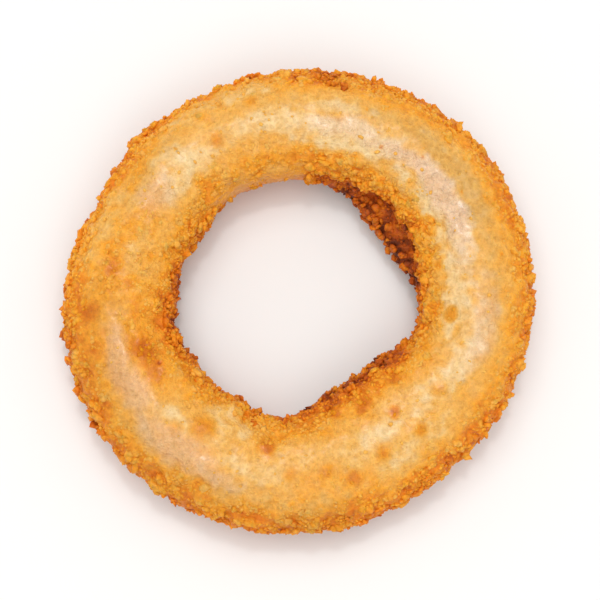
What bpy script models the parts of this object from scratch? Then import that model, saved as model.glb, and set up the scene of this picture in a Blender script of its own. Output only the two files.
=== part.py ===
# One fried onion ring, battered and breaded, lying flat on its lower side.
# Metres, +Z up. The origin is at the bottom centre of its bounding box.
import math

import bmesh
import bpy
from mathutils import Vector, noise

# Plan of the ring
OUTER_RADIUS = 0.0451        # mean radius of the outer edge
OVAL = 0.0010                # how much longer the ring is along OVAL_ANGLE than the mean
OVAL_ANGLE = 40.0            # degrees, counter-clockwise from +X
HOLE_RADIUS = 0.0234         # mean radius of the hole
CHORD_ANGLE = 304.0          # here the crown crosses the hole in a straight line
CHORD_DISTANCE = 0.0184      # from the middle of the hole to that line
LEDGE_ANGLE = 39.5           # here a straight ledge runs low inside the hole
LEDGE_DISTANCE = 0.0200      # from the middle of the hole to the ledge
LINE_REACH = 75.0            # degrees to each side over which a straight line is looked for
CORNER_BLEND = 0.0012        # softness of the corners between hole and straight lines

# Section of the ring
HEIGHT = 0.0190
HEIGHT_SWING = 0.0005        # the crown rises and falls by this much on its way round
HEIGHT_ANGLE = 75.0          # the crown is highest here
SQUARENESS = 2.15            # 2 is an ellipse, larger is boxier
SINK = 0.0003                # the section is cut flat this far above its lowest point
LEDGE_HEIGHT = 0.0058        # height of the ledge's nose
LEDGE_SPREAD = 0.0038        # it fades out this far above and below

# Local swellings (+) and hollows (-): angle, half-width in degrees, size
OUTER_FEATURES = [
    (157.0, 20.0, -0.0013),
    (134.0, 13.0, 0.0004),
    (41.0, 9.0, 0.0004),
    (313.0, 16.0, -0.0004),
]
HOLE_FEATURES = [
    (45.0, 42.0, 0.0019),
    (192.0, 18.0, 0.0012),
    (236.0, 12.0, -0.0011),
    (150.0, 22.0, -0.0007),
]

# Soft lumps of the batter
LUMP_SIZE = 0.0065
LUMP_DEPTH = 0.00035
LUMP_FADE = 0.0020           # the lumps fade in over this height above the resting face

STEPS_ROUND = 100            # cuts around the ring
STEPS_SECTION = 28           # points around each cut

CRUST_COLOR = (0.83, 0.46, 0.13, 1.0)
CRUST_ROUGHNESS = 0.62


def bump(away, reach):
    """A soft hump: 1 where away is 0, and 0 from reach on."""
    if abs(away) >= reach:
        return 0.0
    return 0.5 + 0.5 * math.cos(math.pi * away / reach)


def turn_between(angle, other):
    """The turn from other to angle, in degrees from -180 to 180."""
    return (angle - other + 180.0) % 360.0 - 180.0


def features_at(features, angle):
    total = 0.0
    for centre, half_width, size in features:
        total += size * bump(turn_between(angle, centre), half_width)
    return total


def soft_min(a, b, blend):
    """The smaller of two lengths, rounded off where they are close."""
    mix = max(blend - abs(a - b), 0.0) / blend
    return min(a, b) - mix * mix * blend * 0.25


def behind_line(radius, angle, line_angle, line_distance):
    """Pulls the radius in to a straight line across the hole, where the line is nearer."""
    turn = turn_between(angle, line_angle)
    if abs(turn) > LINE_REACH:
        return radius
    return soft_min(radius, line_distance / math.cos(math.radians(turn)), CORNER_BLEND)


def outer_radius(angle):
    oval = OVAL * math.cos(2.0 * math.radians(angle - OVAL_ANGLE))
    return OUTER_RADIUS + oval + features_at(OUTER_FEATURES, angle)


def crown_hole_radius(angle):
    radius = HOLE_RADIUS + features_at(HOLE_FEATURES, angle)
    return behind_line(radius, angle, CHORD_ANGLE, CHORD_DISTANCE)


def ledge_depth(angle):
    """How far the ledge stands into the hole, past the crown's inner edge."""
    radius = crown_hole_radius(angle)
    return radius - behind_line(radius, angle, LEDGE_ANGLE, LEDGE_DISTANCE)


def signed_power(value, power):
    return math.copysign(abs(value) ** power, value)


def section_point(angle, step):
    """One point of the cut at this angle: its distance from the axis and its height."""
    outer = outer_radius(angle)
    inner = crown_hole_radius(angle)
    middle = 0.5 * (outer + inner)
    half_width = 0.5 * (outer - inner)
    swing = HEIGHT_SWING * math.cos(math.radians(angle - HEIGHT_ANGLE))
    half_height = 0.5 * (HEIGHT + swing + SINK)
    # the first point lies straight below the middle, so the resting face is centred on it
    turn = 2.0 * math.pi * step / STEPS_SECTION - 0.5 * math.pi
    across = signed_power(math.cos(turn), 2.0 / SQUARENESS)
    upward = signed_power(math.sin(turn), 2.0 / SQUARENESS)
    radius = middle + half_width * across
    height = max(half_height * (1.0 + upward) - SINK, 0.0)
    if across < 0.0 and height > 0.0:
        reach = bump(height - LEDGE_HEIGHT, LEDGE_SPREAD)
        radius -= ledge_depth(angle) * reach * min(1.0, -2.0 * across)
    return radius, height


def lump(point):
    """Height of the soft lumps here, fading out toward the resting face."""
    fade = min(max(point.z, 0.0) / LUMP_FADE, 1.0)
    return LUMP_DEPTH * fade * noise.noise(point / LUMP_SIZE)


def ring_mesh(name):
    shape = bmesh.new()
    cuts = []
    for i in range(STEPS_ROUND):
        angle = 360.0 * i / STEPS_ROUND
        direction = Vector((math.cos(math.radians(angle)), math.sin(math.radians(angle)), 0.0))
        cut = []
        for step in range(STEPS_SECTION):
            radius, height = section_point(angle, step)
            cut.append(shape.verts.new(direction * radius + Vector((0.0, 0.0, height))))
        cuts.append(cut)
    for i in range(STEPS_ROUND):
        near = cuts[i]
        far = cuts[(i + 1) % STEPS_ROUND]
        for step in range(STEPS_SECTION):
            after = (step + 1) % STEPS_SECTION
            shape.faces.new((near[step], far[step], far[after], near[after]))
    bmesh.ops.recalc_face_normals(shape, faces=shape.faces)
    shape.normal_update()
    moves = [vert.normal * lump(vert.co) for vert in shape.verts]
    for vert, move in zip(shape.verts, moves):
        vert.co += move
        vert.co.z = max(vert.co.z, 0.0)
    centre_on_axis(shape)
    mesh = bpy.data.meshes.new(name)
    shape.to_mesh(mesh)
    shape.free()
    mesh.shade_smooth()
    return mesh


def centre_on_axis(shape):
    """Moves the shape so that its bounding box is centred on the Z axis."""
    for axis in (0, 1):
        low = min(vert.co[axis] for vert in shape.verts)
        high = max(vert.co[axis] for vert in shape.verts)
        for vert in shape.verts:
            vert.co[axis] -= 0.5 * (low + high)


def crust_material():
    material = bpy.data.materials.new("golden_crust")
    material.use_nodes = True
    shader = material.node_tree.nodes["Principled BSDF"]
    shader.inputs["Base Color"].default_value = CRUST_COLOR
    shader.inputs["Roughness"].default_value = CRUST_ROUGHNESS
    shader.inputs["Metallic"].default_value = 0.0
    return material


for old in list(bpy.data.objects):
    bpy.data.objects.remove(old, do_unlink=True)

ring = bpy.data.objects.new("onion_ring", ring_mesh("onion_ring"))
ring.data.materials.append(crust_material())
bpy.context.scene.collection.objects.link(ring)
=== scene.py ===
import math

import bmesh
import bpy
import numpy as np
from mathutils import Matrix, Vector, noise
from mathutils.bvhtree import BVHTree


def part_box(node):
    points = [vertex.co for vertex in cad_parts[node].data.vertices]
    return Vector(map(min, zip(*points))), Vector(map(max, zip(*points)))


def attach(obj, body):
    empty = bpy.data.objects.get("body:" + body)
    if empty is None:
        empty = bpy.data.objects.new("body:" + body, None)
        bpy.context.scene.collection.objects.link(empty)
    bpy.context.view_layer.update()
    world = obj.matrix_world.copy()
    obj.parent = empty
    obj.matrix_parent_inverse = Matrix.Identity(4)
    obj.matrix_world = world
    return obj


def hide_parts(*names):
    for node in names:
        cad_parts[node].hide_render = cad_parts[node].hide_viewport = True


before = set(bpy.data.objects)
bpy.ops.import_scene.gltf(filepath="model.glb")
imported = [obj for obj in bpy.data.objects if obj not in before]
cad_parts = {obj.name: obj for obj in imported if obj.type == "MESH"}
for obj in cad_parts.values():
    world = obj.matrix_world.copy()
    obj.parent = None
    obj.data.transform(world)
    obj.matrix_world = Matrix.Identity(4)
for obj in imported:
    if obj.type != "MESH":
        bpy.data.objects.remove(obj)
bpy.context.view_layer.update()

mm = 0.001
dice = np.random.default_rng(23)

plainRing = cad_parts["onion_ring"]
ringLow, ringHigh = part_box("onion_ring")
ringHeight = ringHigh.z - ringLow.z

form = {
    "cutsRound": 640,          # cuts around the ring
    "cutsAcross": 156,         # points around each cut
    "softening": 1.0 * mm,     # rounds off the facets of the plain solid
}


def blurGrid(values, stepsRound, stepsAcross):
    # soft blur that wraps both ways, its width given in grid steps
    waveRound = np.fft.fftfreq(values.shape[0])[:, None, None]
    waveAcross = np.fft.fftfreq(values.shape[1])[None, :, None]
    reach = (waveRound * stepsRound) ** 2 + (waveAcross * stepsAcross) ** 2
    keep = np.exp(-2.0 * math.pi ** 2 * reach)
    return np.real(np.fft.ifft2(np.fft.fft2(values, axes=(0, 1)) * keep, axes=(0, 1)))


def normalsOf(points):
    alongRound = np.roll(points, -1, 0) - np.roll(points, 1, 0)
    alongAcross = np.roll(points, -1, 1) - np.roll(points, 1, 1)
    normals = np.cross(alongAcross, alongRound)
    return normals / np.linalg.norm(normals, axis=2, keepdims=True)


def readForm(node):
    # rays from the middle of each cut find the plain solid's surface
    corners = [vertex.co.copy() for vertex in node.data.vertices]
    tree = BVHTree.FromPolygons(corners, [tuple(face.vertices) for face in node.data.polygons])
    up = Vector((0.0, 0.0, 1.0))
    axis = up * 0.5 * (ringLow.z + ringHigh.z)
    farAway = ringHigh.x * 2.0
    points = np.zeros((form["cutsRound"], form["cutsAcross"], 3))
    middles = np.zeros(form["cutsRound"])
    halfWidths = np.zeros(form["cutsRound"])
    for i in range(form["cutsRound"]):
        turn = 2.0 * math.pi * i / form["cutsRound"]
        outward = Vector((math.cos(turn), math.sin(turn), 0.0))
        innerWall = tree.ray_cast(axis, outward)[0]
        outerWall = tree.ray_cast(axis + outward * farAway, -outward)[0]
        middle = (innerWall + outerWall) * 0.5
        middles[i] = (middle - axis).length
        halfWidths[i] = (outerWall - innerWall).length * 0.5
        for j in range(form["cutsAcross"]):
            lean = 2.0 * math.pi * j / form["cutsAcross"]      # 0 is straight up, then outward
            aim = outward * math.sin(lean) + up * math.cos(lean)
            hit = tree.ray_cast(middle, aim)[0]
            points[i, j] = hit or tree.find_nearest(middle + aim * halfWidths[i])[0]
    stepRound = 2.0 * math.pi * middles.mean() / form["cutsRound"]
    stepAcross = 2.0 * math.pi * halfWidths.mean() / form["cutsAcross"]
    points = blurGrid(points, form["softening"] / stepRound, form["softening"] / stepAcross)
    return points, middles, halfWidths


formPoints, formMiddles, formHalfWidths = readForm(plainRing)
formNormals = normalsOf(formPoints)
flatPoints = formPoints.reshape(-1, 3)
flatNormals = formNormals.reshape(-1, 3)
print("form read:", len(flatPoints), "points")

# where each point lies round and across the ring, and how it faces
turnAt = np.degrees(np.arctan2(flatPoints[:, 1], flatPoints[:, 0])) % 360.0
radiusAt = np.hypot(flatPoints[:, 0], flatPoints[:, 1])
middleAt = np.repeat(formMiddles, form["cutsAcross"])
halfWidthAt = np.repeat(formHalfWidths, form["cutsAcross"])
acrossAt = (radiusAt - middleAt) / halfWidthAt        # -1 at the hole, 1 at the outer edge
facingUp = flatNormals[:, 2]
facingOut = (flatNormals[:, 0] * flatPoints[:, 0] + flatNormals[:, 1] * flatPoints[:, 1]) / radiusAt
leanAt = np.degrees(np.arctan2(facingOut, facingUp))  # 0 on the crown, 90 outside, -90 in the hole
heightAt = (flatPoints[:, 2] - ringLow.z) / ringHeight


def smoothStep(low, high, values):
    t = np.clip((values - low) / (high - low), 0.0, 1.0)
    return t * t * (3.0 - 2.0 * t)


def turnedFrom(angle):
    # degrees round the ring from this angle, -180 to 180
    return (turnAt - angle + 180.0) % 360.0 - 180.0


def noiseAt(points, size, shift=0.0):
    # soft noise, about -1 to 1, with lumps of this size
    away = Vector((shift * 17.3, shift * 5.1, shift * -9.7))
    return np.array([noise.noise(Vector(point) / size + away) for point in points]) * 1.6


def chipsAt(points, size, shift=0.0):
    # close-packed chips of this size: 1 in the middle of a chip and 0 at its rim, a random
    # number for each chip, and how far its top slants up or down here
    away = Vector((shift * 3.7, shift * -7.9, shift * 11.3))
    tops = np.zeros(len(points))
    kinds = np.zeros(len(points))
    slants = np.zeros(len(points))
    half = Vector((0.5, 0.5, 0.5))
    chipReach = 0.72        # from a chip's middle to its rim, as a share of the size
    for k, point in enumerate(points):
        place = Vector(point) / size + away
        distances, centres = noise.voronoi(place)
        tops[k] = 1.0 - (distances[0] / chipReach) ** 2
        kinds[k] = noise.cell(centres[0] * 7.31)
        slants[k] = (noise.cell_vector(centres[0] * 5.17) - half).dot(place - centres[0])
    return np.clip(tops, 0.0, 1.0), kinds, slants


def chipHeight(top, kind, slant):
    # domed chips, some higher than others, each with its own slant
    return np.sqrt(top) * (0.3 + 0.7 * kind + 1.2 * slant)


crust = {
    # patches: angle, place across, half-width in degrees, half-width across, strength
    "creamPatches": [
        (34.0, -0.28, 32.0, 0.34, 1.0),
        (38.0, -0.46, 24.0, 0.28, 1.0),
        (72.0, -0.26, 24.0, 0.36, 1.0),
        (98.0, -0.06, 16.0, 0.28, 0.7),
        (118.0, -0.16, 14.0, 0.20, 0.4),
        (134.0, -0.14, 14.0, 0.32, 0.7),
        (114.0, 0.72, 18.0, 0.22, 0.7),
        (162.0, 0.76, 13.0, 0.26, 0.6),
        (168.0, -0.10, 8.0, 0.24, 0.5),
        (225.0, -0.09, 8.0, 0.16, 0.8),
        (241.0, -0.58, 12.0, 0.22, 0.7),
        (256.0, 0.06, 14.0, 0.24, 0.5),
        (300.0, -0.08, 12.0, 0.20, 0.7),
        (307.0, 0.42, 12.0, 0.22, 0.6),
        (335.0, -0.02, 20.0, 0.26, 0.8),
        (358.0, -0.50, 18.0, 0.30, 0.9),
        (45.0, -0.64, 12.0, 0.16, 0.7),
        (46.0, 0.46, 10.0, 0.16, 0.5),
        (82.0, 0.22, 14.0, 0.14, 0.5),
        (142.0, 0.34, 14.0, 0.14, 0.4),
        (286.0, 0.18, 7.0, 0.12, 0.5),
        (268.0, 0.66, 9.0, 0.20, 0.4),
    ],
    "goldenPatches": [
        (40.0, 0.56, 28.0, 0.18, 0.4),
        (84.0, 0.84, 10.0, 0.26, 0.9),
        (146.0, 0.90, 6.0, 0.20, 0.6),
        (191.0, 0.05, 18.0, 0.90, 0.8),
        (207.0, -0.24, 14.0, 0.36, 0.95),
        (234.0, 0.10, 14.0, 0.24, 0.5),
        (279.0, 0.26, 14.0, 0.24, 0.5),
        (312.0, -0.60, 26.0, 0.20, 0.6),
        (299.0, -0.30, 9.0, 0.16, 0.6),
        (329.0, -0.42, 10.0, 0.16, 0.6),
        (254.0, -0.20, 8.0, 0.16, 0.5),
        (310.0, -0.82, 26.0, 0.28, 1.0),
        (300.0, 0.80, 26.0, 0.22, 0.4),
    ],
    "onionPatches": [           # thin batter with the pinkish onion showing through
        (38.0, -0.21, 30.0, 0.27, 0.9),
        (76.0, -0.10, 14.0, 0.24, 0.6),
        (145.0, 0.06, 8.0, 0.34, 0.5),
        (206.0, 0.22, 18.0, 0.28, 0.6),
        (232.0, 0.30, 18.0, 0.28, 0.6),
        (350.0, 0.12, 16.0, 0.24, 0.5),
    ],
    "crumbPatches": [           # the crumbs reach right over the crown here
        (166.0, 0.00, 20.0, 0.90, 0.9),
        (190.0, -0.45, 24.0, 0.42, 0.9),
        (284.0, 0.42, 16.0, 0.34, 0.5),
        (104.0, -0.38, 26.0, 0.24, 0.6),
        (268.0, 0.34, 18.0, 0.40, 0.3),
        (322.0, 0.30, 20.0, 0.40, 0.3),
    ],
    "brownSpots": [             # angle, place across, radius in mm, strength
        (200.0, -0.31, 3.4, 1.00),
        (209.0, -0.27, 2.4, 0.60),
        (257.0, -0.42, 2.0, 0.95),
        (233.0, -0.23, 2.8, 0.70),
        (227.0, 0.02, 1.8, 0.40),
        (119.0, -0.02, 1.7, 0.70),
        (105.0, 0.46, 1.6, 0.50),
        (185.0, 0.55, 2.4, 0.70),
        (172.0, 0.22, 2.4, 0.60),
        (286.0, -0.72, 1.5, 0.90),
        (299.0, -0.58, 2.0, 0.95),
        (308.0, -0.20, 1.4, 0.90),
        (311.0, 0.27, 1.5, 0.70),
        (297.0, 0.20, 1.7, 0.75),
        (266.0, 0.04, 1.6, 0.45),
        (278.0, 0.14, 1.8, 0.50),
        (286.0, 0.38, 1.8, 0.70),
        (83.0, 0.84, 3.2, 0.50),
        (353.0, -0.52, 1.6, 0.70),
        (325.0, -0.02, 1.7, 0.45),
        (318.0, -0.62, 1.5, 0.80),
    ],
    "spotBrowning": 0.60,
    "paintedShadePatches": [            # painted shade: darkened stretches of the slopes, mostly toward the outer edge
        (230.0, 0.70, 46.0, 0.44, 0.34),
        (186.0, 0.30, 14.0, 0.60, 0.25),
        (142.0, 0.42, 16.0, 0.28, 0.25),
        (40.0, 0.26, 36.0, 0.24, 0.42),
        (271.0, 0.84, 15.0, 0.32, 0.42),
        (203.0, 0.62, 14.0, 0.45, 0.36),
    ],
    "pores": [                  # like the brown spots
        (62.0, -0.28, 0.45, 1.0),
        (206.0, -0.42, 0.45, 0.9),
        (250.0, -0.80, 0.50, 1.0),
        (285.0, -0.86, 0.50, 0.9),
        (49.0, -0.05, 0.35, 0.8),
        (71.0, 0.30, 0.35, 0.8),
        (131.0, 0.30, 0.35, 0.7),
        (33.0, 0.10, 0.35, 0.7),
        (12.0, 0.42, 0.40, 0.6),
    ],
    "poreBrowning": 0.86,
    "poreDepth": 0.25 * mm,
    # the hole's wall: angle, half-width, top as a share of the height, browning
    "wallBands": [
        (38.0, 44.0, 0.61, 0.21),           # the ledge
        (303.0, 40.0, 0.74, 0.22),
        (188.0, 26.0, 0.78, 0.20),
        (109.0, 24.0, 0.78, -0.06),
    ],
    "smoothWall": (109.0, 26.0, 0.80),      # a stretch of the hole's wall with few crumbs
    "ledgeStep": 0.5 * mm,      # how far the rim stands out over the browned ledge under it
    "ledgeNose": 1.5 * mm,      # the ledge's crust is thickest along its nose
    "noseHeight": 0.34,         # as a share of the ring's height
    "noseHalfHeight": 0.17,
    "noseHalfAngle": 26.0,
    "goldenOutside": (7.0, 48.0),       # leans, in degrees, from pale batter to golden crust
    "goldenInside": (8.0, 40.0),
    "crumbsOutside": (14.0, 54.0),      # leans from the first crumbs to a thick cover
    "crumbsInside": (12.0, 46.0),
    "raggedSize": 5.0 * mm,     # edges of patches wander in waves of these two sizes
    "raggedFineSize": 1.8 * mm,
    "blotchSize": 2.8 * mm,
    "lumpSize": 7.0 * mm,
    "lumpDepth": 0.24 * mm,
    "dimpleSize": 3.0 * mm,
    "dimpleDepth": 0.50 * mm,
    "chipSize": 1.8 * mm,
    "chipDepth": 0.50 * mm,
    "fineChipSize": 1.0 * mm,
    "fineChipDepth": 0.34 * mm,
    "sink": 0.35 * mm,          # taken off all over, to make room for the relief
    "patchEdge": (0.45, 1.30),  # where a patch starts to fade and where it ends, in half-widths
    "spotEdge": (0.20, 1.30),
    "facingFade": (0.0, 0.3),   # patches fade out where the surface turns downward
}


def patchesAt(patches):
    # soft-edged patches on the upper side
    total = np.zeros(len(flatPoints))
    for angle, across, halfAngle, halfAcross, strength in patches:
        away = np.hypot(turnedFrom(angle) / halfAngle, (acrossAt - across) / halfAcross)
        away = away + 0.22 * ragged + 0.20 * raggedFine
        total = np.maximum(total, strength * (1.0 - smoothStep(*crust["patchEdge"], away)))
    return total * smoothStep(*crust["facingFade"], facingUp)


def spotsAt(spots):
    # small round marks on the upper side
    total = np.zeros(len(flatPoints))
    for angle, across, size, strength in spots:
        along = np.radians(turnedFrom(angle)) * radiusAt
        away = np.hypot(along, (acrossAt - across) * halfWidthAt) / (size * mm)
        away = away + 0.25 * raggedFine
        total = np.maximum(total, strength * (1.0 - smoothStep(*crust["spotEdge"], away)))
    return total * smoothStep(*crust["facingFade"], facingUp)


def wallBandAt(angle, halfAngle, top):
    # the hole's wall up to a ragged line
    near = 1.0 - smoothStep(0.65, 1.0, np.abs(turnedFrom(angle) + 6.0 * ragged) / halfAngle)
    raggedHeight = heightAt + 0.05 * ragged + 0.05 * raggedFine
    below = 1.0 - smoothStep(top - 0.05, top + 0.05, raggedHeight)
    return near * below * smoothStep(0.1, 0.4, -acrossAt)


ragged = noiseAt(flatPoints, crust["raggedSize"], 1.0)
raggedFine = noiseAt(flatPoints, crust["raggedFineSize"], 2.0)
blotches = noiseAt(flatPoints, crust["blotchSize"], 7.0)
creamAt = patchesAt(crust["creamPatches"])
goldenPatchAt = patchesAt(crust["goldenPatches"])
onionAt = patchesAt(crust["onionPatches"])
crumbPatchAt = patchesAt(crust["crumbPatches"])
# painted shade over stretches of the slopes
paintedShadeAt = patchesAt(crust["paintedShadePatches"])
spotAt = spotsAt(crust["brownSpots"])
poreAt = spotsAt(crust["pores"])
smoothWallAt = wallBandAt(*crust["smoothWall"])
ledgeAngle, ledgeHalf, ledgeTop = crust["wallBands"][0][:3]
ledgeAt = wallBandAt(ledgeAngle, ledgeHalf, ledgeTop)

# crumbs thin out over the crown: 0 is smooth batter, 1 is thick with crumbs
leanRagged = leanAt + np.sign(leanAt) * (6.0 * ragged + 4.0 * raggedFine)
goldenAt = np.maximum(smoothStep(*crust["goldenOutside"], leanRagged),
                      smoothStep(*crust["goldenInside"], -leanRagged))
goldenAt = np.maximum(goldenAt, crumbPatchAt * (0.75 + 0.25 * ragged))
crumbAt = np.maximum(smoothStep(*crust["crumbsOutside"], leanRagged),
                     smoothStep(*crust["crumbsInside"], -leanRagged))
crumbAt = np.maximum(crumbAt, crumbPatchAt * (0.55 + 0.35 * raggedFine))
crumbAt = np.clip(crumbAt * (1.0 - 0.8 * smoothWallAt) * (1.0 - 0.6 * creamAt), 0.0, 1.0)

chipTop, chipKind, chipSlant = chipsAt(flatPoints, crust["chipSize"], 3.0)
fineTop, fineKind, fineSlant = chipsAt(flatPoints, crust["fineChipSize"], 4.0)
lumps = noiseAt(flatPoints, crust["lumpSize"], 5.0)
dimples = noiseAt(flatPoints, crust["dimpleSize"], 6.0)
relief = crust["lumpDepth"] * lumps
relief = relief + crust["dimpleDepth"] * dimples * (0.35 + 0.65 * crumbAt)
chips = chipHeight(chipTop, chipKind, chipSlant)
relief = relief + crust["chipDepth"] * chips * crumbAt * (1.0 - 0.5 * ledgeAt)
chips = chipHeight(fineTop, fineKind, fineSlant)
relief = relief + crust["fineChipDepth"] * chips * (0.18 + 0.82 * crumbAt)

# the rim's step over the ledge, then the ledge's thick nose
overLedge = heightAt - ledgeTop + 0.05 * ragged + 0.05 * raggedFine
ledgeNear = (1.0 - smoothStep(0.6, 1.0, np.abs(turnedFrom(ledgeAngle)) / ledgeHalf)) * (acrossAt < 0.0)
rimStep = np.exp(-((overLedge - 0.08) / 0.08) ** 2) - 0.8 * np.exp(-((overLedge + 0.07) / 0.07) ** 2)
relief = relief + crust["ledgeStep"] * ledgeNear * rimStep
noseAway = np.hypot(turnedFrom(ledgeAngle) / crust["noseHalfAngle"],
                    (heightAt - crust["noseHeight"]) / crust["noseHalfHeight"])
relief = relief + crust["ledgeNose"] * np.exp(-noseAway ** 2) * (acrossAt < 0.0)
relief = relief - crust["poreDepth"] * poreAt - crust["sink"]
crustPoints = flatPoints + flatNormals * relief[:, None]
crustPoints[:, 2] = np.maximum(crustPoints[:, 2], ringLow.z)
print("crust relief done")

browner = {     # what makes the crust's colour browner, and by how much; below zero pales it; some entries are painted shade or light
    "batter": 0.20,             # all over
    "golden": 0.20,
    "crumbs": 0.14,
    "low": 0.22,                # toward the bottom
    "steep": 0.09,
    # paler inner rim: partly its own yellower colour, partly painted light on a wall that lies in
    # shade
    "innerRim": -0.06,
    "goldenPatch": 0.14,
    "cream": -0.18,
    "onion": -0.05,
    "ragged": 0.02,
    "raggedFine": 0.03,
    "blotches": 0.045,
    "chipRimPaintedShade": 0.08,            # painted shade in the gaps between chips; this and the next two only among crumbs
    "chipKind": 0.04,
    # painted light on raised dimples, painted shade in the low ones
    "dimplePaintedShade": -0.06,
}

# browning: 0 is pale cream, 0.5 gold, 1 dark brown
lowness = 1.0 - smoothStep(0.10, 0.70, heightAt)
steepAt = smoothStep(45.0, 80.0, np.abs(leanAt))
innerRimAt = goldenAt * smoothStep(0.1, 0.5, -acrossAt) * smoothStep(0.55, 0.80, heightAt)
browning = browner["batter"] + browner["golden"] * goldenAt * (1.0 - 0.8 * creamAt)
browning = browning + browner["crumbs"] * crumbAt
browning = browning + browner["low"] * lowness + browner["steep"] * steepAt
for angle, halfAngle, top, strength in crust["wallBands"]:
    browning = browning + strength * wallBandAt(angle, halfAngle, top)
# the inner rim paled, partly as painted light
browning = browning + browner["innerRim"] * innerRimAt + browner["goldenPatch"] * goldenPatchAt
browning = browning + browner["cream"] * creamAt + browner["onion"] * onionAt * (1.0 - goldenAt)
browning = browning + browner["ragged"] * ragged + browner["raggedFine"] * raggedFine
browning = browning + browner["blotches"] * blotches
# among crumbs: painted shade at the chips' rims and in low dimples, and each chip's own tone
browning = browning + crumbAt * (browner["chipRimPaintedShade"] * (0.6 - chipTop)
                                 + browner["chipKind"] * (chipKind - 0.5)
                                 + browner["dimplePaintedShade"] * dimples)
browning = browning + spotAt * (crust["spotBrowning"] - browning)
browning = browning + poreAt * (crust["poreBrowning"] - browning)
browning = np.clip(browning, 0.0, 1.0)


class Wire:
    # a shader socket that sums, differences and products can be written with
    def __init__(self, graph, socket):
        self.graph = graph
        self.socket = socket

    def maths(self, operation, first, second):
        return self.graph.add("ShaderNodeMath", {"operation": operation}, {0: first, 1: second})

    def __add__(self, other):
        return self.maths("ADD", self, other)

    def __radd__(self, other):
        return self.maths("ADD", other, self)

    def __sub__(self, other):
        return self.maths("SUBTRACT", self, other)

    def __rsub__(self, other):
        return self.maths("SUBTRACT", other, self)

    def __mul__(self, other):
        return self.maths("MULTIPLY", self, other)

    def __rmul__(self, other):
        return self.maths("MULTIPLY", other, self)


class Graph:
    # a new material and its nodes
    def __init__(self, name):
        self.material = bpy.data.materials.new(name)
        self.material.use_nodes = True
        self.tree = self.material.node_tree
        self.tree.nodes.clear()

    def add(self, kind, settings=None, inputs=None, output=0):
        node = self.tree.nodes.new(kind)
        for key, value in (settings or {}).items():
            if key == "stops":
                self.setStops(node.color_ramp, value)
            else:
                setattr(node, key, value)
        for key, value in (inputs or {}).items():
            if isinstance(value, Wire):
                self.tree.links.new(value.socket, node.inputs[key])
            else:
                node.inputs[key].default_value = value
        return Wire(self, node.outputs[output]) if len(node.outputs) else node

    def setStops(self, ramp, stops):
        while len(ramp.elements) < len(stops):
            ramp.elements.new(1.0)
        for element, (place, colour) in zip(ramp.elements, stops):
            element.position = place
            element.color = (*colour, 1.0)


fried = {
    # browning: pale cream, light gold, gold, orange-brown, red-brown, dark brown
    "browningStops": [
        (0.00, (0.89, 0.66, 0.35)),
        (0.20, (0.86, 0.465, 0.105)),
        (0.44, (0.90, 0.375, 0.024)),
        (0.64, (0.79, 0.22, 0.007)),
        (0.84, (0.47, 0.085, 0.005)),
        (1.00, (0.13, 0.022, 0.005)),
    ],
    "onionColor": (0.84, 0.495, 0.32, 1.0),
    "subsurfaceRadius": (1.0, 0.80, 0.52),
    "spotTone": (0.82, 0.70, 0.12, 1.0),            # the tones multiply the colour
    # painted shade: the tone that darkens the painted shade patches
    "paintedShadeTone": (0.70, 0.74, 0.90, 1.0),
    "hollowPaintedShade": (0.86, 0.80, 0.70, 1.0),          # painted shade: fine hollows are a little darker and warmer, and raised parts lighter as painted light
    "raisedPaintedLight": (1.13, 1.15, 1.16, 1.0),
    "mottleSize": 1.3 * mm,
    "peelSize": 0.95 * mm,
    "fleckSize": 1.1 * mm,
    "grainSize": 0.35 * mm,
    "wrinkleSize": 1.1 * mm,
    "mottleBrowning": 0.08,     # how much each pattern shifts the browning
    "grainBrowning": 0.02,
    "fleckBrowning": 0.025,
    "crumbFleckBrowning": 0.03,
    "onionLeast": 0.45,         # how much of the onion's colour shows in its patches
    "onionMottle": 0.4,
    "crumbPaintedLight": 0.10,        # crumbs take a little more of the painted light on raised parts
    "grainHeight": 1.1,         # how much each pattern adds to the fine bumps
    "peelHeight": 2.3,
    "onionPeelHeight": 0.8,
    "wrinkleHeight": 3.8,
    "mottleHeight": 0.6,
    "coatRoughness": 0.22,
    "batterCoat": 0.4,          # shares of a finish's coat: oily batter, onion patches, crumbs
    "onionCoat": 0.6,
    "crumbCoatLoss": 0.7,
    "crumbRoughness": 0.12,     # added to the roughness
    "grainRoughness": 0.25,
    "patternRoughness": 0.55,   # of the noise itself
}


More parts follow.
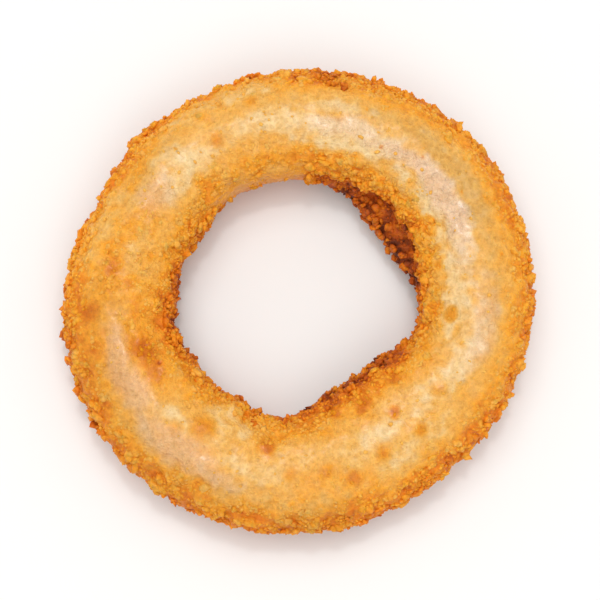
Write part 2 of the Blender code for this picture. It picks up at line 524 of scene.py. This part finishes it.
def friedFinish(name, roughness, specular, coat, bumpDepth, subsurface, subsurfaceScale):
    graph = Graph(name)
    place = graph.add("ShaderNodeTexCoord", output="Object")

    def field(fieldName):
        return graph.add("ShaderNodeAttribute", {"attribute_name": fieldName}, output="Fac")

    def cloud(size, detail, distortion=0.0):
        return graph.add("ShaderNodeTexNoise", None, {
            "Vector": place, "Scale": 1.0 / size, "Detail": detail,
            "Roughness": fried["patternRoughness"], "Distortion": distortion})

    def mixed(factor, first, second, blend="MIX"):
        return graph.add("ShaderNodeMix", {"data_type": "RGBA", "blend_type": blend}, {
            "Factor": factor, "A": first, "B": second}, "Result")

    browned = field("browning")
    onion = field("onion")
    crumbs = field("crumbs")
    mottle = cloud(fried["mottleSize"], 3.0)
    grain = cloud(fried["grainSize"], 2.0)
    peel = cloud(fried["peelSize"], 1.5)
    wrinkle = cloud(fried["wrinkleSize"], 1.0, 1.5)
    fleck = graph.add("ShaderNodeTexVoronoi", {"feature": "SMOOTH_F1"}, {
        "Vector": place, "Scale": 1.0 / fried["fleckSize"], "Smoothness": 0.35}, "Color")
    fleck = graph.add("ShaderNodeSeparateColor", None, {"Color": fleck}, "Red")
    fleck = graph.add("ShaderNodeMapRange", {"interpolation_type": "SMOOTHSTEP"}, {
        "Value": fleck, "From Min": 0.55, "From Max": 0.80})

    shade = browned + (mottle - 0.5) * fried["mottleBrowning"]
    shade = shade + (grain - 0.5) * fried["grainBrowning"]
    shade = shade + fleck * (fried["fleckBrowning"] + crumbs * fried["crumbFleckBrowning"])
    colour = graph.add("ShaderNodeValToRGB", {"stops": fried["browningStops"]}, {"Fac": shade})
    onionShare = onion * (fried["onionLeast"] + mottle * fried["onionMottle"])
    colour = mixed(onionShare, colour, fried["onionColor"])
    # painted light and shade: the fine bumps' raised parts are painted lighter and their hollows
    # darker
    paintedLightShare = 0.5 + (peel - 0.5) * (2.0 - onion)
    paintedLightShare = paintedLightShare + (grain - 0.5) * (1.0 - onion * 0.5) + crumbs * fried["crumbPaintedLight"]
    paintedBumpShading = mixed(paintedLightShare, fried["hollowPaintedShade"], fried["raisedPaintedLight"])
    colour = mixed(1.0, colour, paintedBumpShading, "MULTIPLY")
    colour = mixed(field("spots"), colour, fried["spotTone"], "MULTIPLY")
    # painted shade over the stretches listed in the painted shade patches
    colour = mixed(field("dull"), colour, fried["paintedShadeTone"], "MULTIPLY")

    height = grain * fried["grainHeight"]
    height = height + peel * (fried["peelHeight"] + onion * fried["onionPeelHeight"])
    height = height + wrinkle * onion * fried["wrinkleHeight"] + mottle * fried["mottleHeight"]
    bump = graph.add("ShaderNodeBump", None, {
        "Height": height, "Strength": 1.0, "Distance": bumpDepth})
    grainRough = (grain - 0.5) * fried["grainRoughness"]
    oily = (fried["batterCoat"] + onion * fried["onionCoat"]) * (1.0 - crumbs * fried["crumbCoatLoss"])
    shader = graph.add("ShaderNodeBsdfPrincipled", None, {
        "Base Color": colour,
        "Roughness": roughness + crumbs * fried["crumbRoughness"] + grainRough,
        "Coat Weight": oily * coat,
        "Coat Roughness": fried["coatRoughness"],
        "Subsurface Weight": subsurface,
        "Subsurface Radius": fried["subsurfaceRadius"],
        "Subsurface Scale": subsurfaceScale,
        "Specular IOR Level": specular,
        "Normal": bump,
    })
    graph.add("ShaderNodeOutputMaterial", None, {"Surface": shader})
    return graph.material


crustFinish = friedFinish("friedCrust", roughness=0.45, specular=0.24, coat=0.8,
                          bumpDepth=0.24 * mm, subsurface=0.35, subsurfaceScale=0.6 * mm)
crumbFinish = friedFinish("friedCrumbs", roughness=0.42, specular=0.16, coat=0.1,
                          bumpDepth=0.10 * mm, subsurface=0.40, subsurfaceScale=0.35 * mm)


def addMesh(name, points, faces, fields, material):
    mesh = bpy.data.meshes.new(name)
    mesh.from_pydata(points, [], faces)
    for field, values in fields.items():
        mesh.attributes.new(field, "FLOAT", "POINT").data.foreach_set("value", values)
    mesh.shade_smooth()
    mesh.materials.append(material)
    piece = bpy.data.objects.new(name, mesh)
    bpy.context.scene.collection.objects.link(piece)
    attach(piece, "root")
    return piece


def gridFaces(cutsRound, cutsAcross):
    here = np.arange(cutsRound * cutsAcross).reshape(cutsRound, cutsAcross)
    beyond = np.roll(here, -1, 1)
    onward = np.roll(here, -1, 0)
    corners = (here, beyond, np.roll(onward, -1, 1), onward)
    return np.stack([corner.ravel() for corner in corners], axis=1)


crustPiece = addMesh(
    "friedCrust", crustPoints, gridFaces(form["cutsRound"], form["cutsAcross"]),
    {"browning": browning, "onion": onionAt, "crumbs": crumbAt,
     # the brown spots, then the painted shade patches
     "spots": spotAt, "dull": paintedShadeAt}, crustFinish)
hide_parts("onion_ring")
print("crust made")

# count of crumbs, grains in each, sizes and gap in mm, share of a crumb sunk into the crust, how
# much less of it is sunk at the sides, thickness as a share of the size, tilt off the surface
crumbKinds = {
    "fineCrumbs": {"count": 9400, "grains": 1, "low": 0.40, "high": 0.95, "gap": 0.45,
                   "bury": 0.14, "lift": 0.10, "slim": (0.6, 1.0), "tilt": 0.30},
    "grittyCrumbs": {"count": 2600, "grains": 3, "low": 0.90, "high": 1.70, "gap": 0.80,
                     "bury": 0.28, "lift": 0.16, "slim": (0.55, 0.95), "tilt": 0.35},
    "coarseCrumbs": {"count": 1300, "grains": 5, "low": 1.50, "high": 2.90, "gap": 1.50,
                     "bury": 0.34, "lift": 0.20, "slim": (0.5, 0.85), "tilt": 0.35},
    "flakeCrumbs": {"count": 1500, "grains": 2, "low": 1.00, "high": 2.30, "gap": 0.90,
                    "bury": 0.10, "lift": 0.10, "slim": (0.5, 0.8), "tilt": 0.60},
    "rimCrumbs": {"count": 260, "grains": 4, "low": 1.10, "high": 2.50, "gap": 0.90,
                  "bury": 0.20, "lift": 0.0, "slim": (0.5, 0.9), "tilt": 0.45},
    "toastedClumps": {"grains": 4, "bury": 0.15, "lift": 0.0, "slim": (0.6, 0.95), "tilt": 0.35},
}
crumbLook = {
    "shapes": 20,               # different crumbs of each kind
    "cutFaces": 9,              # flat faces that each grain is cut to
    "cutDepths": (0.36, 0.64),
    "cornerReach": 0.75,        # corners between the cuts reach no further than this
    "rough": 0.10,
    "grainSizes": (0.50, 0.85),
    "grainSpread": 0.30,
    "lengths": (0.95, 1.35),
    "widths": (0.7, 1.05),
    "sizeSpread": (1.3, 2.4),   # more small crumbs than large ones
    "clumpSizeSpread": (1.2, 1.8),
    "clumpTint": 0.05,
    "crumbField": 0.6,          # how crumby the finish of the crumbs themselves is
    "palest": 0.24,             # lowest browning of a crumb
    "sidePalest": 0.16,         # added to the palest at the sides
    "paler": 0.06,              # less browned than the crust below
    "ledgeBrowner": 0.05,       # but a little browner than it on the ledge
    "tint": 0.02,               # differences from crumb to crumb
    # painted light: each crumb's top is paler, its lower part browner as painted shade
    "tipPaintedLight": 0.20,
    "pale": 0.02,
    "clear": 0.05 * mm,         # crumbs keep just off the table, so that only the crust rests on it
}


def crumbShapes(grains):
    # a handful of crumbs, each about 1 across: a few angular grains stuck together
    shapes = []
    for k in range(crumbLook["shapes"]):
        corners, faces = [], []
        for g in range(grains):
            ball = bmesh.new()
            bmesh.ops.create_icosphere(ball, subdivisions=1, radius=1.0)
            aims = np.array([vertex.co for vertex in ball.verts])
            sides = np.array([[vertex.index for vertex in face.verts] for face in ball.faces])
            ball.free()
            planes = dice.normal(0.0, 1.0, (crumbLook["cutFaces"], 3))
            planes = planes / np.linalg.norm(planes, axis=1, keepdims=True)
            depths = dice.uniform(*crumbLook["cutDepths"], crumbLook["cutFaces"])
            reach = (depths / np.maximum(aims @ planes.T, 0.05)).min(axis=1)
            reach = np.minimum(reach, crumbLook["cornerReach"])
            reach = reach * (1.0 + crumbLook["rough"] * dice.uniform(-1.0, 1.0, len(aims)))
            swell = 1.0 if grains == 1 else dice.uniform(*crumbLook["grainSizes"])
            place = dice.normal(0.0, 1.0, 3)
            place = place / np.linalg.norm(place) * (0.0 if grains == 1 else crumbLook["grainSpread"])
            corners.append(aims * (reach * swell)[:, None] + place)
            faces.append(sides + g * len(aims))
        shapes.append((np.concatenate(corners), np.concatenate(faces)))
    return shapes


def spreadOut(points, gap):
    # keeps a point only if no kept point lies within the gap
    kept = []
    taken = {}
    cells = np.floor(points / gap).astype(int)
    around = [(a, b, c) for a in (-1, 0, 1) for b in (-1, 0, 1) for c in (-1, 0, 1)]
    for k, (x, y, z) in enumerate(cells.tolist()):
        near = [q for a, b, c in around for q in taken.get((x + a, y + b, z + c), ())]
        if all(np.dot(points[k] - points[q], points[k] - points[q]) > gap * gap for q in near):
            kept.append(k)
            taken.setdefault((x, y, z), []).append(k)
    return np.array(kept)


cutArea = np.linalg.norm(np.cross(
    np.roll(formPoints, -1, 0) - formPoints, np.roll(formPoints, -1, 1) - formPoints), axis=2).ravel()
crustGrid = crustPoints.reshape(formPoints.shape)
crustNormals = normalsOf(crustGrid).reshape(-1, 3)
stepOnRound = (np.roll(crustGrid, -1, 0) - crustGrid).reshape(-1, 3)
stepOnAcross = (np.roll(crustGrid, -1, 1) - crustGrid).reshape(-1, 3)


def setCrumbs(name, places, anchors, sizes, brown):
    kind = crumbKinds[name]
    count = len(places)
    up = crustNormals[anchors] + dice.normal(0.0, kind["tilt"], (count, 3))
    up = up / np.linalg.norm(up, axis=1, keepdims=True)
    side = np.cross(up, dice.normal(0.0, 1.0, (count, 3)))
    side = side / np.linalg.norm(side, axis=1, keepdims=True)
    turned = np.stack([side, np.cross(up, side), up], axis=1)
    ranges = (crumbLook["lengths"], crumbLook["widths"], kind["slim"])
    stretch = np.stack([dice.uniform(*span, count) for span in ranges], axis=1) * sizes[:, None]
    steep = smoothStep(30.0, 75.0, np.abs(leanAt[anchors]))       # crumbs stand out most at the sides
    sunk = (kind["bury"] - kind["lift"] * steep) * sizes
    shapes = crumbShapes(kind["grains"])
    which = dice.integers(0, len(shapes), count)
    brown = brown + dice.normal(0.0, crumbLook["tint"], count)
    paleness = np.maximum(dice.normal(0.0, crumbLook["pale"], count), 0.0)
    eachHas = len(shapes[0][0])
    points, faces, browned = [], [], []
    for k in range(count):
        corners, sides = shapes[which[k]]
        moved = (corners * stretch[k]) @ turned[k]
        points.append(moved + places[k] - crustNormals[anchors[k]] * sunk[k])
        faces.append(sides + k * eachHas)
        # painted light on the crumb's top, painted shade toward its foot
        browned.append(brown[k] - crumbLook["tipPaintedLight"] * corners[:, 2])
    points = np.concatenate(points)
    points[:, 2] = np.maximum(points[:, 2], ringLow.z + crumbLook["clear"])
    palest = np.repeat(crumbLook["palest"] + crumbLook["sidePalest"] * steep, eachHas)
    fields = {
        "browning": np.clip(np.concatenate(browned), palest, 1.0),
        "onion": np.repeat(paleness, eachHas),
        "crumbs": np.full(len(points), crumbLook["crumbField"]),
        "spots": np.repeat(spotAt[anchors], eachHas),
        # the crumbs take the painted shade of the crust under them
        "dull": np.repeat(paintedShadeAt[anchors], eachHas),
    }
    print(name, count, "crumbs,", len(points), "points")
    return addMesh(name, points, np.concatenate(faces), fields, crumbFinish)


def scatterCrumbs(name, wanted, paler=crumbLook["paler"]):
    kind = crumbKinds[name]
    chance = wanted * cutArea
    tries = dice.choice(len(chance), kind["count"] * 3, p=chance / chance.sum())
    slide = dice.uniform(0.0, 1.0, (2, len(tries), 1))
    places = crustPoints[tries] + stepOnRound[tries] * slide[0] + stepOnAcross[tries] * slide[1]
    kept = spreadOut(places, kind["gap"] * mm)[:kind["count"]]
    shares = dice.beta(*crumbLook["sizeSpread"], len(kept))
    sizes = kind["low"] + (kind["high"] - kind["low"]) * shares
    tries = tries[kept]
    brown = browning[tries] - paler + (paler + crumbLook["ledgeBrowner"]) * ledgeAt[tries]
    return setCrumbs(name, places[kept], tries, sizes * mm, brown)


# angle, lean of the surface, number, spread in mm, browning, low and high size in mm
toastedClumps = [
    (82.0, 54.0, 34, 2.3, 0.70, 0.8, 1.8),
    (42.0, 74.0, 14, 1.7, 0.40, 0.9, 1.9),
    (170.0, 80.0, 16, 1.6, 0.54, 0.8, 1.8),
    (186.0, 74.0, 18, 2.2, 0.58, 0.8, 1.6),
    (199.0, -62.0, 24, 1.9, 0.66, 0.9, 2.0),
    (186.0, -66.0, 18, 1.5, 0.66, 0.8, 1.7),
    (303.0, 58.0, 24, 2.4, 0.62, 0.7, 1.4),
    (150.0, -52.0, 10, 1.3, 0.52, 0.8, 1.5),
    (233.0, 76.0, 10, 1.3, 0.48, 0.8, 1.8),
    (10.0, -76.0, 12, 1.9, 0.68, 0.9, 1.8),
    (26.0, -92.0, 26, 2.8, 0.79, 0.9, 2.1),
    (34.0, -74.0, 20, 2.4, 0.78, 0.8, 1.7),
    (42.0, -94.0, 32, 3.2, 0.79, 0.9, 2.2),
    (58.0, -92.0, 28, 2.8, 0.81, 0.9, 2.1),
    (72.0, -84.0, 18, 1.9, 0.78, 0.8, 1.6),
    (290.0, -84.0, 22, 2.4, 0.66, 0.7, 1.5),
    (304.0, -84.0, 26, 2.8, 0.70, 0.7, 1.5),
    (318.0, -84.0, 22, 2.4, 0.68, 0.7, 1.5),
]


def gatherClumps(name, clumps):
    # crumbs heaped round a few places, the outer ones lower
    places, anchors, sizes, browned = [], [], [], []
    for angle, lean, number, spread, brown, low, high in clumps:
        leaned = (leanAt - lean + 180.0) % 360.0 - 180.0
        middle = flatPoints[np.argmin(turnedFrom(angle) ** 2 + leaned ** 2)]
        away = np.linalg.norm(flatPoints - middle, axis=1) / (spread * mm)
        chance = np.exp(-away ** 2) * (away < 1.6) * cutArea
        picked = dice.choice(len(chance), number, p=chance / chance.sum())
        heap = np.exp(-away[picked] ** 2) * dice.uniform(0.0, 0.5 * high * mm, number)
        places.append(crustPoints[picked] + crustNormals[picked] * heap[:, None])
        anchors.append(picked)
        shares = dice.beta(*crumbLook["clumpSizeSpread"], number)
        sizes.append((low + (high - low) * shares) * mm)
        browned.append(dice.normal(brown, crumbLook["clumpTint"], number))
    return setCrumbs(name, *[np.concatenate(part) for part in (places, anchors, sizes, browned)])


scatter = {
    "clusterSize": 3.2 * mm,    # crumbs gather in clusters of about this size
    "crown": 0.03,              # a few fine crumbs lie on the crown as well
    "rimPaler": 0.10,
    "rimHeight": 0.07,          # above the ledge, as a share of the ring's height
    "rimSpread": 0.05,
}
clusters = noiseAt(flatPoints, scatter["clusterSize"], 8.0)
crumbsWanted = np.clip(crumbAt * 1.1 - 0.10, 0.0, 1.0) ** 1.5
crumbsWanted = crumbsWanted * (0.25 + 0.75 * smoothStep(-0.5, 0.5, clusters))
crumbsWanted = crumbsWanted * (1.0 - 0.7 * ledgeAt)
flakesWanted = crumbsWanted * smoothStep(40.0, 75.0, np.abs(leanAt))
rimWanted = ledgeNear * np.exp(-((overLedge - scatter["rimHeight"]) / scatter["rimSpread"]) ** 2)
scatterCrumbs("fineCrumbs", crumbsWanted + scatter["crown"])
scatterCrumbs("grittyCrumbs", crumbsWanted)
scatterCrumbs("coarseCrumbs", crumbsWanted)
scatterCrumbs("flakeCrumbs", flakesWanted)
scatterCrumbs("rimCrumbs", rimWanted, scatter["rimPaler"])
gatherClumps("toastedClumps", toastedClumps)

studio = {
    "floorRadius": 2.4,
    "floorFlat": 0.7,           # the floor is flat to here, then curves up into the backdrop
    "floorRise": 0.9,
    "floorColor": (0.92, 0.915, 0.91, 1.0),
    "floorRoughness": 0.9,
    "skyColor": (1.0, 0.945, 0.895, 1.0),
    "skyStrength": 0.54,
    # name, turn, height, spread in degrees, strength, colour
    "suns": [
        ("keySun", 118.0, 76.0, 44.0, 1.14, (0.93, 0.985, 1.0)),
        ("fillSun", 276.0, 58.0, 40.0, 0.48, (0.93, 0.985, 1.0)),
        ("sparkleSun", 100.0, 74.0, 6.0, 0.34, (1.0, 1.0, 1.0)),
    ],
    "lens": 180.0,
    "sensorWidth": 36.0,
    "framed": 116.0 * mm,       # width of the picture where the ring lies
    "cameraTurn": 248.0,        # the camera leans toward this side
    "cameraHeight": 82.0,       # degrees above the floor
}


def direction(turn, height):
    flat = math.cos(math.radians(height))
    return Vector((flat * math.cos(math.radians(turn)), flat * math.sin(math.radians(turn)),
                   math.sin(math.radians(height))))


def softSun(name, turn, height, spread, strength, colour):
    lamp = bpy.data.lights.new(name, "SUN")
    lamp.angle = math.radians(spread)
    lamp.energy = strength
    lamp.color = colour
    holder = bpy.data.objects.new(name, lamp)
    holder.location = direction(turn, height)
    holder.rotation_euler = direction(turn, height).to_track_quat("Z", "Y").to_euler()
    bpy.context.scene.collection.objects.link(holder)


def studioFloor():
    # a round floor whose rim curves up, so that it also stands behind the ring in low views
    rings, spokes = 40, 96
    curved = studio["floorRadius"] - studio["floorFlat"]
    points = [(0.0, 0.0, 0.0)]
    for i in range(1, rings + 1):
        radius = studio["floorRadius"] * i / rings
        height = studio["floorRise"] * max(0.0, (radius - studio["floorFlat"]) / curved) ** 2
        for j in range(spokes):
            turn = 2.0 * math.pi * j / spokes
            points.append((radius * math.cos(turn), radius * math.sin(turn), height))
    faces = [(0, 1 + j, 1 + (j + 1) % spokes) for j in range(spokes)]
    for i in range(rings - 1):
        here = 1 + i * spokes
        for j in range(spokes):
            after = (j + 1) % spokes
            faces.append((here + j, here + spokes + j, here + spokes + after, here + after))
    mesh = bpy.data.meshes.new("studioFloor")
    mesh.from_pydata(points, [], faces)
    mesh.shade_smooth()
    graph = Graph("paleFloor")
    shader = graph.add("ShaderNodeBsdfPrincipled", None, {
        "Base Color": studio["floorColor"], "Roughness": studio["floorRoughness"]})
    graph.add("ShaderNodeOutputMaterial", None, {"Surface": shader})
    mesh.materials.append(graph.material)
    floor = bpy.data.objects.new("studioFloor", mesh)
    bpy.context.scene.collection.objects.link(floor)


studioFloor()
sky = bpy.data.worlds.new("studioSky")
sky.use_nodes = True
skyLight = sky.node_tree.nodes["Background"]
skyLight.inputs["Color"].default_value = studio["skyColor"]
skyLight.inputs["Strength"].default_value = studio["skyStrength"]
bpy.context.scene.world = sky
for sun in studio["suns"]:
    softSun(*sun)

camera = bpy.data.objects.new("camera", bpy.data.cameras.new("camera"))
camera.data.lens = studio["lens"]
camera.data.sensor_width = studio["sensorWidth"]
backward = direction(studio["cameraTurn"], studio["cameraHeight"])
rightward = Vector((0.0, 1.0, 0.0)).cross(backward).normalized()
upward = backward.cross(rightward)
middle = Vector((0.0, 0.0, 0.5 * ringHeight))
distance = studio["framed"] * studio["lens"] / camera.data.sensor_width
turned = Matrix((rightward, upward, backward)).transposed()
camera.matrix_world = Matrix.LocRotScale(middle + backward * distance, turned, None)
bpy.context.scene.collection.objects.link(camera)
bpy.context.scene.camera = camera
bpy.context.scene.view_settings.view_transform = "Standard"
print("studio set")
